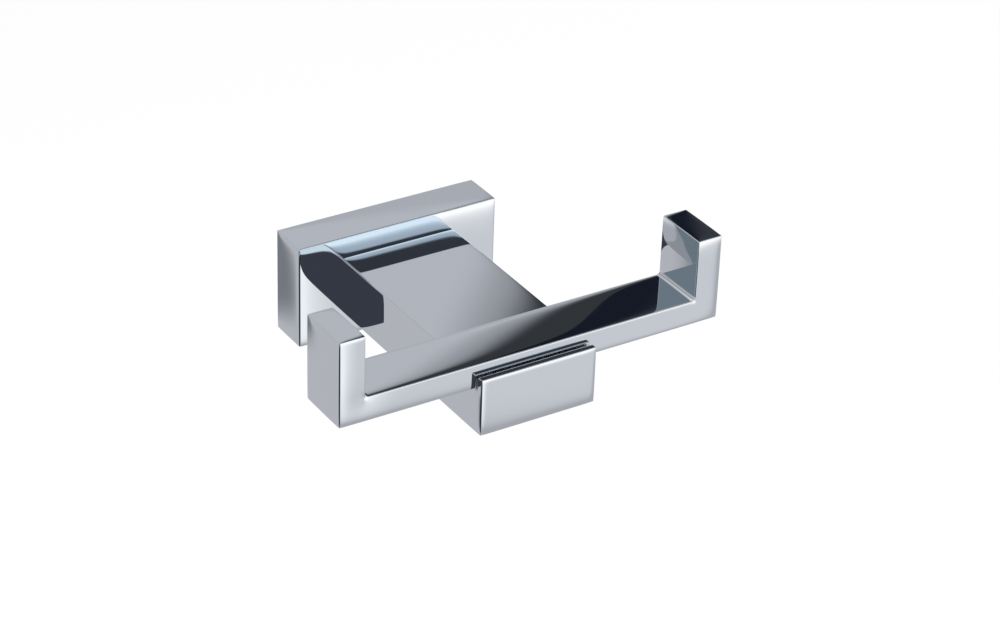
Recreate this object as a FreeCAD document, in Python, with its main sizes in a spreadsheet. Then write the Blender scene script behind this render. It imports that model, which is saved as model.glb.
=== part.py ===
import FreeCAD, Part
import os
import re
import Sketcher

# Double robe hook, in millimetres. X runs along the hook arm, Y into the wall and Z up.
# The origin is the centre of the backplate's open rear, in the plane of the wall.

# Driving sizes: alias, value and meaning.
SIZES = [
    ("plate_width", 55, "backplate along the wall"),
    ("plate_height", 27.2, "backplate up the wall"),
    ("plate_depth", 11.2, "backplate out from the wall"),
    ("plate_wall", 2, "top, bottom and end walls of the hollow backplate"),
    ("plate_front", 2.5, "front wall of the backplate"),
    ("plate_edge", 0.3, "polished edge radius of the backplate"),
    ("cavity_corner", 1.5, "corner radius inside the backplate"),
    ("neck_width", 31.2, "neck block along the wall"),
    ("neck_height", 15, "neck block from underside to top"),
    ("neck_reach", 75.4, "wall to the front of the neck block"),
    ("neck_rise", 0.5, "neck block's middle above the backplate's"),
    ("neck_edge", 0.3, "polished edge radius of the neck block"),
    ("seat_depth", 3.4, "half-lap seat below the neck's top"),
    ("seat_corner", 0.2, "corner radius in the bottom of the seat"),
    ("lip_thickness", 1.9, "lip in front of the seat"),
    ("joint_gap", 0.45, "gap between the arm's front and the lip"),
    ("arm_span", 102.3, "hook arm from end to end"),
    ("arm_depth", 15, "hook arm from back to front"),
    ("arm_rise", 22.2, "hook arm from underside to hook tops"),
    ("bar_thickness", 6.4, "level bar of the hook arm"),
    ("hook_thickness", 6.8, "each upturned end of the hook arm"),
    ("bend_inside", 0.9, "inside corner radius where an end turns up"),
    ("arm_edge", 0.3, "polished edge radius of the hook arm"),
    ("thread_clearance", 0.05, "gap round a screw in its threaded hole"),
    ("pass_clearance", 0.25, "gap round a screw in a through hole"),
    ("head_clearance", 0.25, "gap round a screw head in its counterbore"),
    ("tip_gap", 0.6, "free depth beyond a screw's tip"),
    ("screw_bevel", 0.5, "bevel on screw tips and heads"),
    ("drill_angle", 118, "point angle of the drilled holes, in degrees"),
    ("neck_screw_size", 5, "thread of the neck screws"),
    ("neck_screw_length", 12, "neck screw under its head"),
    ("neck_screw_spacing", 17, "distance between the neck screws"),
    ("neck_head_width", 8.5, "head of a neck screw"),
    ("neck_head_height", 3.5, "height of that head"),
    ("neck_key", 3, "hexagon key of a neck screw"),
    ("neck_key_depth", 2, "depth of its socket"),
    ("washer_width", 9.2, "outside of a lock washer"),
    ("washer_thickness", 1.2, "thickness of a lock washer"),
    ("washer_slit", 0.8, "slit of a lock washer"),
    ("washer_slant", 0.5, "lean of that slit from one face to the other"),
    ("arm_screw_size", 4, "thread of the arm screws"),
    ("arm_screw_length", 10, "arm screw under its head"),
    ("arm_screw_spacing", 16, "distance between the arm screws"),
    ("arm_head_width", 7, "head of an arm screw"),
    ("arm_head_height", 4, "height of that head"),
    ("arm_key", 3, "hexagon key of an arm screw"),
    ("arm_key_depth", 2, "depth of its socket"),
    ("arm_hole_skin", 2, "metal left above the straight part of the bar's threaded holes"),
    ("grub_size", 4, "thread of the grub screw"),
    ("grub_length", 4, "grub screw from end to end"),
    ("grub_recess", 0.2, "grub screw's outer end inside the backplate's underside"),
    ("grub_from_wall", 4.2, "grub screw's axis from the wall"),
    ("grub_key", 2, "hexagon key of the grub screw"),
    ("grub_key_depth", 1.8, "depth of its socket"),
    ("boss_width", 6.5, "boss round the grub screw inside the backplate"),
    ("boss_gap", 0.3, "gap between the boss and the bracket's lower lip"),
    ("bracket_width", 44, "wall bracket along the wall"),
    ("bracket_gauge", 1.5, "sheet thickness of the wall bracket"),
    ("bracket_lip", 6.8, "wall to the free edge of the bracket's lips"),
    ("bracket_bend", 1, "inside bend radius of the wall bracket"),
    ("bracket_corner", 1.6, "corner radius of the bracket's lips"),
    ("wall_hole_width", 4.5, "hole for a wall screw"),
    ("wall_hole_spacing", 34, "distance between the wall screw holes"),
]
ALIASES = {alias for alias, value, meaning in SIZES}

# Lengths worked out from the driving sizes, as text for the document's expressions.
NECK_LENGTH = "(neck_reach - plate_depth)"
NECK_BOTTOM = "(neck_rise - neck_height / 2)"
SEAT_FRONT = f"({NECK_LENGTH} - lip_thickness)"
SEAT_BACK = f"({SEAT_FRONT} - joint_gap - arm_depth)"
SEAT_FLOOR = "(neck_height / 2 - seat_depth)"
ARM_BACK = f"(plate_depth + {SEAT_BACK})"
CAVITY_WIDTH = "(plate_width - 2 * plate_wall)"
CAVITY_TOP = "(plate_height / 2 - plate_wall)"
CAVITY_DEPTH = "(plate_depth - plate_front)"
NECK_SCREW_GRIP = "(neck_screw_length - washer_thickness - plate_front)"
NECK_SCREW_SEAT = f"({CAVITY_DEPTH} - washer_thickness)"
ARM_HOLE_DEPTH = "(bar_thickness - arm_hole_skin)"
COUNTERBORE = f"(neck_height - seat_depth + {ARM_HOLE_DEPTH} - tip_gap - arm_screw_length)"
LOWER_LIP = "(plate_height / 2 - grub_recess - grub_length)"
BOSS_HEIGHT = f"({CAVITY_TOP} - {LOWER_LIP} - boss_gap)"

NEAR = 1e-4
WRONG_STATES = ("Invalid", "Error")


def make_sheet(doc):
    """Write the driving sizes into the document's spreadsheet."""
    sheet = doc.addObject("Spreadsheet::Sheet", "Sizes")
    for row, (alias, value, meaning) in enumerate(SIZES, start=1):
        sheet.set(f"A{row}", alias)
        sheet.set(f"B{row}", str(value))
        sheet.set(f"C{row}", meaning)
        sheet.setAlias(f"B{row}", alias)
    doc.recompute()
    return sheet


def bind(item, field, text):
    """Tie one property of an object to sizes in the spreadsheet."""
    item.setExpression(field, re.sub(r"[a-z_]+", lambda word: prefixed(word[0]), text))


def prefixed(word):
    """Spreadsheet name of an alias; any other word stays as it is."""
    return f"Sizes.{word}" if word in ALIASES else word


def number(doc, text):
    """Present value of an expression, in millimetres."""
    return float(doc.Sizes.evalExpression(text))


def new_body(doc, name):
    """Empty body whose label names the sub-part."""
    body = doc.addObject("PartDesign::Body", name)
    body.Label = name
    return body


def new_sketch(body, name, role, offset="0"):
    """Empty sketch on one of the body's own origin planes, moved along the plane's normal."""
    sketch = body.newObject("Sketcher::SketchObject", name)
    plane = next(item for item in body.Origin.OriginFeatures if item.Role == role)
    sketch.AttachmentSupport = [(plane, "")]
    sketch.MapMode = "FlatFace"
    bind(sketch, "AttachmentOffset.Base.z", offset)
    return sketch


def pin_point(sketch, geometry, point, across, up):
    """Hold a sketch point at a distance across and up from the sketch's origin."""
    for kind, text in (("DistanceX", across), ("DistanceY", up)):
        value = number(sketch.Document, text)
        if value < 0:
            ends = (geometry, point, -1, 1)
            text = f"-({text})"
        else:
            ends = (-1, 1, geometry, point)
        index = sketch.addConstraint(Sketcher.Constraint(kind, *ends, abs(value)))
        bind(sketch, f"Constraints[{index}]", text)


def draw_outline(sketch, corners):
    """Closed outline of straight lines through the corners."""
    doc = sketch.Document
    points = [FreeCAD.Vector(number(doc, across), number(doc, up), 0) for across, up in corners]
    lines = [Part.LineSegment(a, b) for a, b in zip(points, points[1:] + points[:1])]
    first = sketch.addGeometry(lines, False)[0]
    for place, (across, up) in enumerate(corners):
        after = (place + 1) % len(corners)
        sketch.addConstraint(Sketcher.Constraint("Coincident", first + place, 2, first + after, 1))
        pin_point(sketch, first + place, 1, across, up)


def draw_box(sketch, width, height):
    """Rectangle about the sketch's origin."""
    half_w, half_h = f"({width}) / 2", f"({height}) / 2"
    signs = ((-1, -1), (1, -1), (1, 1), (-1, 1))
    draw_outline(sketch, [(f"{a} * {half_w}", f"{b} * {half_h}") for a, b in signs])


def draw_circle(sketch, width, across="0", up="0"):
    """Circle of a given width."""
    doc = sketch.Document
    centre = FreeCAD.Vector(number(doc, across), number(doc, up), 0)
    radius = number(doc, f"({width}) / 2")
    circle = sketch.addGeometry(Part.Circle(centre, FreeCAD.Vector(0, 0, 1), radius), False)
    index = sketch.addConstraint(Sketcher.Constraint("Diameter", circle, 2 * radius))
    bind(sketch, f"Constraints[{index}]", width)
    pin_point(sketch, circle, 3, across, up)


def draw_pair(sketch, width, spacing, up="0"):
    """Two equal circles, half the spacing to each side of the sketch's origin."""
    for side in (-1, 1):
        draw_circle(sketch, width, f"{side} * {spacing} / 2", up)


def draw_hexagon(sketch, key):
    """Hexagon across whose flats the key fits, about the sketch's origin."""
    corner = f"{key} / 2 / cos(30 deg)"
    angles = range(0, 360, 60)
    draw_outline(sketch, [(f"{corner} * cos({a} deg)", f"{corner} * sin({a} deg)") for a in angles])


def pad(sketch, length, both_ways=False):
    """Pad a sketch along its normal, or half to each side of its plane."""
    body = sketch.getParentGeoFeatureGroup()
    feature = body.newObject("PartDesign::Pad", f"{sketch.Name}_pad")
    feature.Profile = sketch
    feature.SideType = "Symmetric" if both_ways else "One side"
    bind(feature, "Length", length)
    body.Document.recompute()
    return feature


def pocket(sketch, length=None, along_normal=True, both_ways=False):
    """Cut a sketch into the body to a depth, or right through, and check that metal went."""
    body = sketch.getParentGeoFeatureGroup()
    before = body.Shape.Volume
    feature = body.newObject("PartDesign::Pocket", f"{sketch.Name}_pocket")
    feature.Profile = sketch
    feature.Reversed = along_normal
    feature.SideType = "Symmetric" if both_ways else "One side"
    if length is None:
        feature.Type = "ThroughAll"
    else:
        bind(feature, "Length", length)
    check_cut(body, before, feature)
    return feature


def drill(sketch, width, depth=None, head_width=None, head_depth=None):
    """Drill the sketch's circles along its normal, blind or through, with or without a counterbore."""
    body = sketch.getParentGeoFeatureGroup()
    body.Document.recompute()
    before = body.Shape.Volume
    feature = body.newObject("PartDesign::Hole", f"{sketch.Name}_hole")
    feature.Profile = sketch
    feature.Reversed = True
    feature.DepthType = "ThroughAll" if depth is None else "Dimension"
    bind(feature, "Diameter", width)
    if depth:
        bind(feature, "Depth", depth)
        feature.DrillPoint = "Angled"
        bind(feature, "DrillPointAngle", "drill_angle")
    if head_width:
        feature.HoleCutType = "Counterbore"
        feature.HoleCutCustomValues = True
        bind(feature, "HoleCutDiameter", head_width)
        bind(feature, "HoleCutDepth", head_depth)
    check_cut(body, before, feature)
    return feature


def check_cut(body, before, feature):
    """Stop if a cut has removed nothing from its body."""
    body.Document.recompute()
    if not feature.Shape.Volume < before - NEAR:
        raise RuntimeError(f"{feature.Name} cuts nothing")


def round_edges(feature, name, radius, wanted):
    """Fillet those edges of a feature for which the test is true."""
    body = feature.getParentGeoFeatureGroup()
    numbered = enumerate(feature.Shape.Edges, start=1)
    names = [f"Edge{place}" for place, edge in numbered if wanted(edge)]
    fillet = body.newObject("PartDesign::Fillet", name)
    fillet.Base = (feature, names)
    bind(fillet, "Radius", radius)
    body.Document.recompute()
    return fillet


def runs_along(edge, axis):
    """True for a straight edge parallel to the X, Y or Z axis, given as 0, 1 or 2."""
    ends = [corner.Point for corner in edge.Vertexes]
    return len(ends) == 2 and edge.Length > NEAR and abs(abs((ends[1] - ends[0])[axis]) - edge.Length) < NEAR


def lies_at(edge, axis, value):
    """True if the whole edge lies at one value of X, Y or Z."""
    low = (edge.BoundBox.XMin, edge.BoundBox.YMin, edge.BoundBox.ZMin)[axis]
    high = (edge.BoundBox.XMax, edge.BoundBox.YMax, edge.BoundBox.ZMax)[axis]
    return abs(low - value) < 0.01 and abs(high - value) < 0.01


def place_at(item, across="0", out="0", up="0", faces_wall=False):
    """Place a sub-part across the wall, out from it and up it, turned if its axis is level."""
    if faces_wall:
        item.Placement.Rotation = FreeCAD.Rotation(FreeCAD.Vector(1, 0, 0), 90)
    bind(item, "Placement.Base.x", across)
    bind(item, "Placement.Base.y", f"-({out})")
    bind(item, "Placement.Base.z", up)


def make_pair(doc, name, make_one, spacing, **place):
    """Two of the same fastener, half the spacing to each side, as one sub-part."""
    singles = []
    for side, word in ((-1, "left"), (1, "right")):
        single = make_one(doc, f"{name}_{word}")
        place_at(single, across=f"{side} * {spacing} / 2", **place)
        singles.append(single)
    pair = doc.addObject("Part::Compound", name)
    pair.Label = name
    pair.Links = singles
    doc.recompute()
    return pair


def make_wall_bracket(doc):
    """Stamped strip with an upper and a lower lip bent away from the wall, and two wall screw holes."""
    body = new_body(doc, "wall_bracket")
    section = new_sketch(body, "bracket_section", "YZ_Plane")
    draw_outline(section, [
        ("0", f"-{LOWER_LIP}"),
        ("0", CAVITY_TOP),
        ("-bracket_lip", CAVITY_TOP),
        ("-bracket_lip", f"{CAVITY_TOP} - bracket_gauge"),
        ("-bracket_gauge", f"{CAVITY_TOP} - bracket_gauge"),
        ("-bracket_gauge", f"bracket_gauge - {LOWER_LIP}"),
        ("-bracket_lip", f"bracket_gauge - {LOWER_LIP}"),
        ("-bracket_lip", f"-{LOWER_LIP}"),
    ])
    strip = pad(section, "bracket_width", both_ways=True)
    gauge, lip = number(doc, "bracket_gauge"), number(doc, "bracket_lip")
    outer = round_edges(strip, "bracket_outer_bends", "bracket_bend + bracket_gauge",
                        lambda edge: runs_along(edge, 0) and lies_at(edge, 1, 0))
    inner = round_edges(outer, "bracket_inner_bends", "bracket_bend",
                        lambda edge: runs_along(edge, 0) and lies_at(edge, 1, -gauge))
    round_edges(inner, "bracket_lip_corners", "bracket_corner",
                lambda edge: runs_along(edge, 2) and lies_at(edge, 1, -lip))
    holes = new_sketch(body, "wall_holes", "XZ_Plane")
    draw_pair(holes, "wall_hole_width", "wall_hole_spacing")
    pocket(holes)
    return body


def make_backplate(doc):
    """Hollow casting, open to the wall, with a boss for the grub screw inside its bottom wall."""
    body = new_body(doc, "backplate")
    outside = new_sketch(body, "plate_outline", "XZ_Plane")
    draw_box(outside, "plate_width", "plate_height")
    block = pad(outside, "plate_depth")
    front = number(doc, "-plate_depth")
    polished = round_edges(block, "plate_polish", "plate_edge",
                           lambda edge: runs_along(edge, 1) or lies_at(edge, 1, front))
    inside = new_sketch(body, "plate_cavity", "XZ_Plane")
    draw_box(inside, CAVITY_WIDTH, f"2 * {CAVITY_TOP}")
    hollow = pocket(inside, CAVITY_DEPTH)
    half = number(doc, f"{CAVITY_WIDTH} / 2")
    round_edges(hollow, "cavity_corners", "cavity_corner",
                lambda edge: runs_along(edge, 1) and (lies_at(edge, 0, half) or lies_at(edge, 0, -half)))
    boss = new_sketch(body, "grub_boss", "XY_Plane", offset=f"-{CAVITY_TOP}")
    draw_circle(boss, "boss_width", up="-grub_from_wall")
    pad(boss, BOSS_HEIGHT)
    grub_hole = new_sketch(body, "grub_hole", "XY_Plane", offset=f"{BOSS_HEIGHT} - {CAVITY_TOP}")
    draw_circle(grub_hole, "grub_size + 2 * thread_clearance", up="-grub_from_wall")
    pocket(grub_hole, along_normal=False)
    neck_holes = new_sketch(body, "neck_holes", "XZ_Plane")
    draw_pair(neck_holes, "neck_screw_size + 2 * pass_clearance", "neck_screw_spacing", up="neck_rise")
    pocket(neck_holes)
    return body


def make_grub_screw(doc):
    """Headless screw with a coned tip, driven from below against the bracket's lower lip."""
    body = new_body(doc, "grub_screw")
    section = new_sketch(body, "grub_section", "XZ_Plane")
    draw_outline(section, [
        ("0", "0"),
        ("grub_size / 2", "0"),
        ("grub_size / 2", "grub_length - screw_bevel"),
        ("grub_size / 2 - screw_bevel", "grub_length"),
        ("0", "grub_length"),
    ])
    revolve(section)
    socket = new_sketch(body, "grub_socket", "XY_Plane")
    draw_hexagon(socket, "grub_key")
    pocket(socket, "grub_key_depth")
    place_at(body, out="grub_from_wall", up="grub_recess - plate_height / 2")
    return body


def revolve(sketch):
    """Turn a half section round the body's own vertical axis."""
    body = sketch.getParentGeoFeatureGroup()
    feature = body.newObject("PartDesign::Revolution", f"{sketch.Name}_turned")
    feature.Profile = sketch
    feature.ReferenceAxis = (sketch, ["V_Axis"])
    feature.Angle = 360
    body.Document.recompute()
    return feature


def make_cap_screw(doc, name, kind):
    """Cylinder-headed screw, its shank up from the origin and its head below it."""
    body = new_body(doc, name)
    head, size = f"{kind}_head_width / 2", f"{kind}_screw_size / 2"
    section = new_sketch(body, f"{name}_section", "XZ_Plane")
    draw_outline(section, [
        ("0", f"-{kind}_head_height"),
        (f"{head} - screw_bevel", f"-{kind}_head_height"),
        (head, f"screw_bevel - {kind}_head_height"),
        (head, "0"),
        (size, "0"),
        (size, f"{kind}_screw_length - screw_bevel"),
        (f"{size} - screw_bevel", f"{kind}_screw_length"),
        ("0", f"{kind}_screw_length"),
    ])
    revolve(section)
    socket = new_sketch(body, f"{name}_socket", "XY_Plane", offset=f"-{kind}_head_height")
    draw_hexagon(socket, f"{kind}_key")
    pocket(socket, f"{kind}_key_depth")
    return body


def make_neck_screw(doc, name):
    """One screw from the backplate's cavity into the neck."""
    return make_cap_screw(doc, name, "neck")


def make_arm_screw(doc, name):
    """One screw from the neck's underside into the bar."""
    return make_cap_screw(doc, name, "arm")


def make_lock_washer(doc, name):
    """Spring ring, tightened flat, cut through on one side by a slanted slit."""
    body = new_body(doc, name)
    ring = new_sketch(body, f"{name}_ring", "XY_Plane")
    draw_circle(ring, "washer_width")
    draw_circle(ring, "neck_screw_size + 2 * thread_clearance")
    pad(ring, "washer_thickness")
    slit = new_sketch(body, f"{name}_slit", "YZ_Plane")
    draw_outline(slit, [
        ("-(washer_slit + washer_slant) / 2", "0"),
        ("(washer_slit - washer_slant) / 2", "0"),
        ("(washer_slit + washer_slant) / 2", "washer_thickness"),
        ("-(washer_slit - washer_slant) / 2", "washer_thickness"),
    ])
    pocket(slit, "washer_width")
    return body


def make_neck_block(doc):
    """Solid block with a half-lap seat across its top, a thin lip in front of it and the screw holes."""
    body = new_body(doc, "neck_block")
    end = new_sketch(body, "neck_outline", "XZ_Plane")
    draw_box(end, "neck_width", "neck_height")
    pad(end, NECK_LENGTH)
    side = new_sketch(body, "seat_outline", "YZ_Plane")
    draw_outline(side, [
        (f"-{SEAT_BACK}", SEAT_FLOOR),
        (f"-{SEAT_FRONT}", SEAT_FLOOR),
        (f"-{SEAT_FRONT}", "neck_height / 2"),
        (f"-{SEAT_BACK}", "neck_height / 2"),
    ])
    seat = pocket(side, both_ways=True)
    floor = number(doc, SEAT_FLOOR)
    cornered = round_edges(seat, "seat_corners", "seat_corner",
                           lambda edge: runs_along(edge, 0) and lies_at(edge, 2, floor))
    round_edges(cornered, "neck_polish", "neck_edge",
                lambda edge: not lies_at(edge, 1, 0) and not in_seat_corner(doc, edge))
    neck_taps = new_sketch(body, "neck_taps", "XZ_Plane")
    draw_pair(neck_taps, "neck_screw_size", "neck_screw_spacing")
    drill(neck_taps, "neck_screw_size + 2 * thread_clearance", depth=f"{NECK_SCREW_GRIP} + tip_gap")
    arm_holes = new_sketch(body, "arm_holes", "XY_Plane", offset="-neck_height / 2")
    draw_pair(arm_holes, "arm_screw_size", "arm_screw_spacing", up=f"-({SEAT_BACK} + arm_depth / 2)")
    drill(arm_holes, "arm_screw_size + 2 * pass_clearance",
          head_width="arm_head_width + 2 * head_clearance", head_depth=COUNTERBORE)
    place_at(body, out="plate_depth", up="neck_rise")
    return body


def in_seat_corner(doc, edge):
    """True for the long edges where a seat corner's round meets its floor or its wall."""
    floor = number(doc, SEAT_FLOOR)
    centre = edge.BoundBox.Center
    front, back = number(doc, f"-{SEAT_FRONT}"), number(doc, f"-{SEAT_BACK}")
    in_seat = front - NEAR < centre.y < back + NEAR
    return runs_along(edge, 0) and in_seat and centre.z < floor + number(doc, "seat_corner") + NEAR \
        and centre.z > floor - NEAR


def make_hook_arm(doc):
    """Level bar with both ends turned up square, as one piece."""
    body = new_body(doc, "hook_arm")
    face = new_sketch(body, "arm_outline", "XZ_Plane")
    half = "arm_span / 2"
    inner = f"({half} - hook_thickness)"
    draw_outline(face, [
        (f"-{half}", "0"),
        (half, "0"),
        (half, "arm_rise"),
        (inner, "arm_rise"),
        (inner, "bar_thickness"),
        (f"-{inner}", "bar_thickness"),
        (f"-{inner}", "arm_rise"),
        (f"-{half}", "arm_rise"),
    ])
    blank = pad(face, "arm_depth")
    top, bar = number(doc, "arm_rise"), number(doc, "bar_thickness")
    back, front = 0, number(doc, "-arm_depth")
    bent = round_edges(blank, "arm_bends", "bend_inside",
                       lambda edge: runs_along(edge, 1) and lies_at(edge, 2, bar))
    round_edges(bent, "arm_polish", "arm_edge",
                lambda edge: lies_at(edge, 1, back) or lies_at(edge, 1, front)
                or lies_at(edge, 2, 0) or lies_at(edge, 2, top))
    taps = new_sketch(body, "arm_taps", "XY_Plane")
    draw_pair(taps, "arm_screw_size", "arm_screw_spacing", up="-arm_depth / 2")
    drill(taps, "arm_screw_size + 2 * thread_clearance", depth=ARM_HOLE_DEPTH)
    place_at(body, out=ARM_BACK, up=f"neck_rise + {SEAT_FLOOR}")
    return body


def make_parts(doc):
    """Every sub-part, from the wall outwards."""
    return [
        make_wall_bracket(doc),
        make_backplate(doc),
        make_grub_screw(doc),
        make_neck_block(doc),
        make_pair(doc, "neck_screws", make_neck_screw, "neck_screw_spacing",
                  out=NECK_SCREW_SEAT, up="neck_rise", faces_wall=True),
        make_pair(doc, "neck_lock_washers", make_lock_washer, "neck_screw_spacing",
                  out=NECK_SCREW_SEAT, up="neck_rise", faces_wall=True),
        make_hook_arm(doc),
        make_pair(doc, "arm_screws", make_arm_screw, "arm_screw_spacing",
                  out=f"{ARM_BACK} + arm_depth / 2", up=f"{NECK_BOTTOM} + {COUNTERBORE}"),
    ]


def check(doc, parts):
    """Stop if any object failed or any sub-part's shape is empty or not valid."""
    for item in doc.Objects:
        if any(word in item.State for word in WRONG_STATES):
            raise RuntimeError(f"{item.Name} failed")
    for part in parts:
        if part.Shape.isNull() or not part.Shape.isValid() or not part.Shape.Solids:
            raise RuntimeError(f"{part.Label} has no valid shape")


def main():
    """Build the document, check it and write each sub-part."""
    os.makedirs("parts", exist_ok=True)
    doc = FreeCAD.newDocument("double_robe_hook")
    make_sheet(doc)
    parts = make_parts(doc)
    doc.recompute()
    check(doc, parts)
    for part in parts:
        part.Shape.exportStep(f"parts/{part.Label}.step")
        box = part.Shape.BoundBox
        print(f"{part.Label}: {len(part.Shape.Solids)} solids, {part.Shape.Volume:.1f} mm3, "
              f"x {box.XMin:.2f}..{box.XMax:.2f}, y {box.YMin:.2f}..{box.YMax:.2f}, "
              f"z {box.ZMin:.2f}..{box.ZMax:.2f}")


main()
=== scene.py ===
"""Wall-mounted double robe hook in polished chrome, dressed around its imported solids.

The backplate, the neck and the hook bar are remade as polished shells whose faces
fall away a little towards their edges, as buffed metal does. The screws get real
threads and sockets, and the bracket and washers keep their solids.
"""

import logging
import math
from dataclasses import dataclass
from enum import Enum

import bmesh
import bpy
import numpy as np
from mathutils import Matrix, Vector, geometry


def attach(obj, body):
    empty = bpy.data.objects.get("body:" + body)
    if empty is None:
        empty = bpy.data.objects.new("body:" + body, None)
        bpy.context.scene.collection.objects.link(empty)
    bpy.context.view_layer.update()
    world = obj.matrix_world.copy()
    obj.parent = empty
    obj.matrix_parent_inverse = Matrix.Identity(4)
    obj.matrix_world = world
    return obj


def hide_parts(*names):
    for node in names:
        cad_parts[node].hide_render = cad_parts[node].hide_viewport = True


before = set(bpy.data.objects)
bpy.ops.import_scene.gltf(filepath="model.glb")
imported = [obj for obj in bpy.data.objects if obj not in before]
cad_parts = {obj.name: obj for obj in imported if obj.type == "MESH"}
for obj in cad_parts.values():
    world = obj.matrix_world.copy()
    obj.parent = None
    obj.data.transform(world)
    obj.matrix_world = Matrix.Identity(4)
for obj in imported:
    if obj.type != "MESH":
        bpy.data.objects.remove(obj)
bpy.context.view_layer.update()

LOG = logging.getLogger("robe_hook")
MM = 0.001
SHARP_ANGLE = math.radians(38)
MERGE_DISTANCE = 2e-7

# How the polished shells are sampled. Steps, margins and tolerances are in mm.
ARC_STEPS = 8
FIRST_STEP = 0.09
LONGEST_STEP = 2.5
STEPS_TRIED = 60
GRID_FIRST, GRID_GROWTH, GRID_MARGIN = 0.3, 1.3, 0.25
END_CLEARANCE = 0.3
SAME_PLACE, CUT_TOLERANCE = 1e-6, 1e-7

# Points round a hole's cutter, a thread's depth over its pitch, a knurl's depth
# in mm, and the height of the cone that a drill leaves over its radius.
CUTTER_AROUND = 64
THREAD_DEPTH = 0.6134
KNURL_DEPTH = 0.1
DRILL_POINT = 0.6


class Axis(Enum):
    """The direction in which an outline is drawn out."""

    X = 0
    Y = 1


class Slot(Enum):
    """The record's material slots."""

    CHROME = "polished_chrome"
    ZINC = "zinc_plated_steel"
    STAINLESS = "stainless_steel"


# ---------------------------------------------------------------- shapes


@dataclass(frozen=True)
class RollOff:
    """How far a buffed face falls below its flat plane near an edge.

    The drop is the sum of two falling exponentials of the distance from the
    edge: a short one beside the edge and a long one that crowns the face.

    Attributes:
        edge_drop: The short one's drop at the edge, in mm.
        edge_reach: The distance in which it falls to a third or so, in mm.
        crown_drop: The long one's drop at the edge, in mm.
        crown_reach: The distance in which it falls to a third or so, in mm.
    """

    edge_drop: float
    edge_reach: float
    crown_drop: float
    crown_reach: float

    def drop(self, distance: np.ndarray) -> np.ndarray:
        """Return the drop at each distance.

        Args:
            distance: Distances from the edge, in mm.

        Returns:
            The drops, in mm.
        """
        away = np.maximum(distance, 0.0)
        beside = self.edge_drop * np.exp(-away / self.edge_reach)
        return beside + self.crown_drop * np.exp(-away / self.crown_reach)


def rising(length: float, first: float, growth: float) -> np.ndarray:
    """Divide a length finely at its start and coarsely further on.

    Each step is the one before times a fixed ratio, up to the longest step,
    and all are stretched a little to end at the length.

    Args:
        length: The length, in mm.
        first: The first step, in mm.
        growth: The ratio between one step and the one before.

    Returns:
        Places from 0 to length, in mm, both ends included.
    """
    steps = np.minimum(first * growth ** np.arange(STEPS_TRIED), LONGEST_STEP)
    places = np.concatenate([[0.0], np.cumsum(steps)])
    last = max(2, int(np.searchsorted(places, length)))
    return places[: last + 1] * (length / places[last])


def graded(length: float, first: float = FIRST_STEP, growth: float = 1.24) -> np.ndarray:
    """Divide a length finely at both ends and coarsely in the middle.

    Args:
        length: The length, in mm.
        first: The first step at each end, in mm.
        growth: The ratio between one step and the one before.

    Returns:
        Places from 0 to length, in mm, both ends included.
    """
    near = rising(length / 2, first, growth)
    return np.concatenate([near, length - near[-2::-1]])


@dataclass(frozen=True)
class Corner:
    """One corner of an outline.

    Attributes:
        u: Its first coordinate, in mm.
        v: Its second coordinate, in mm.
        radius: The radius of its edge, in mm.
        roll: How much of the roll-off the faces have beside this edge.
        face: How much of it the end faces have along the run after it.
        across: How much of it the run after it has towards the solid's two ends.
    """

    u: float
    v: float
    radius: float
    roll: float = 1.0
    face: float = 1.0
    across: float = 1.0


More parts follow.
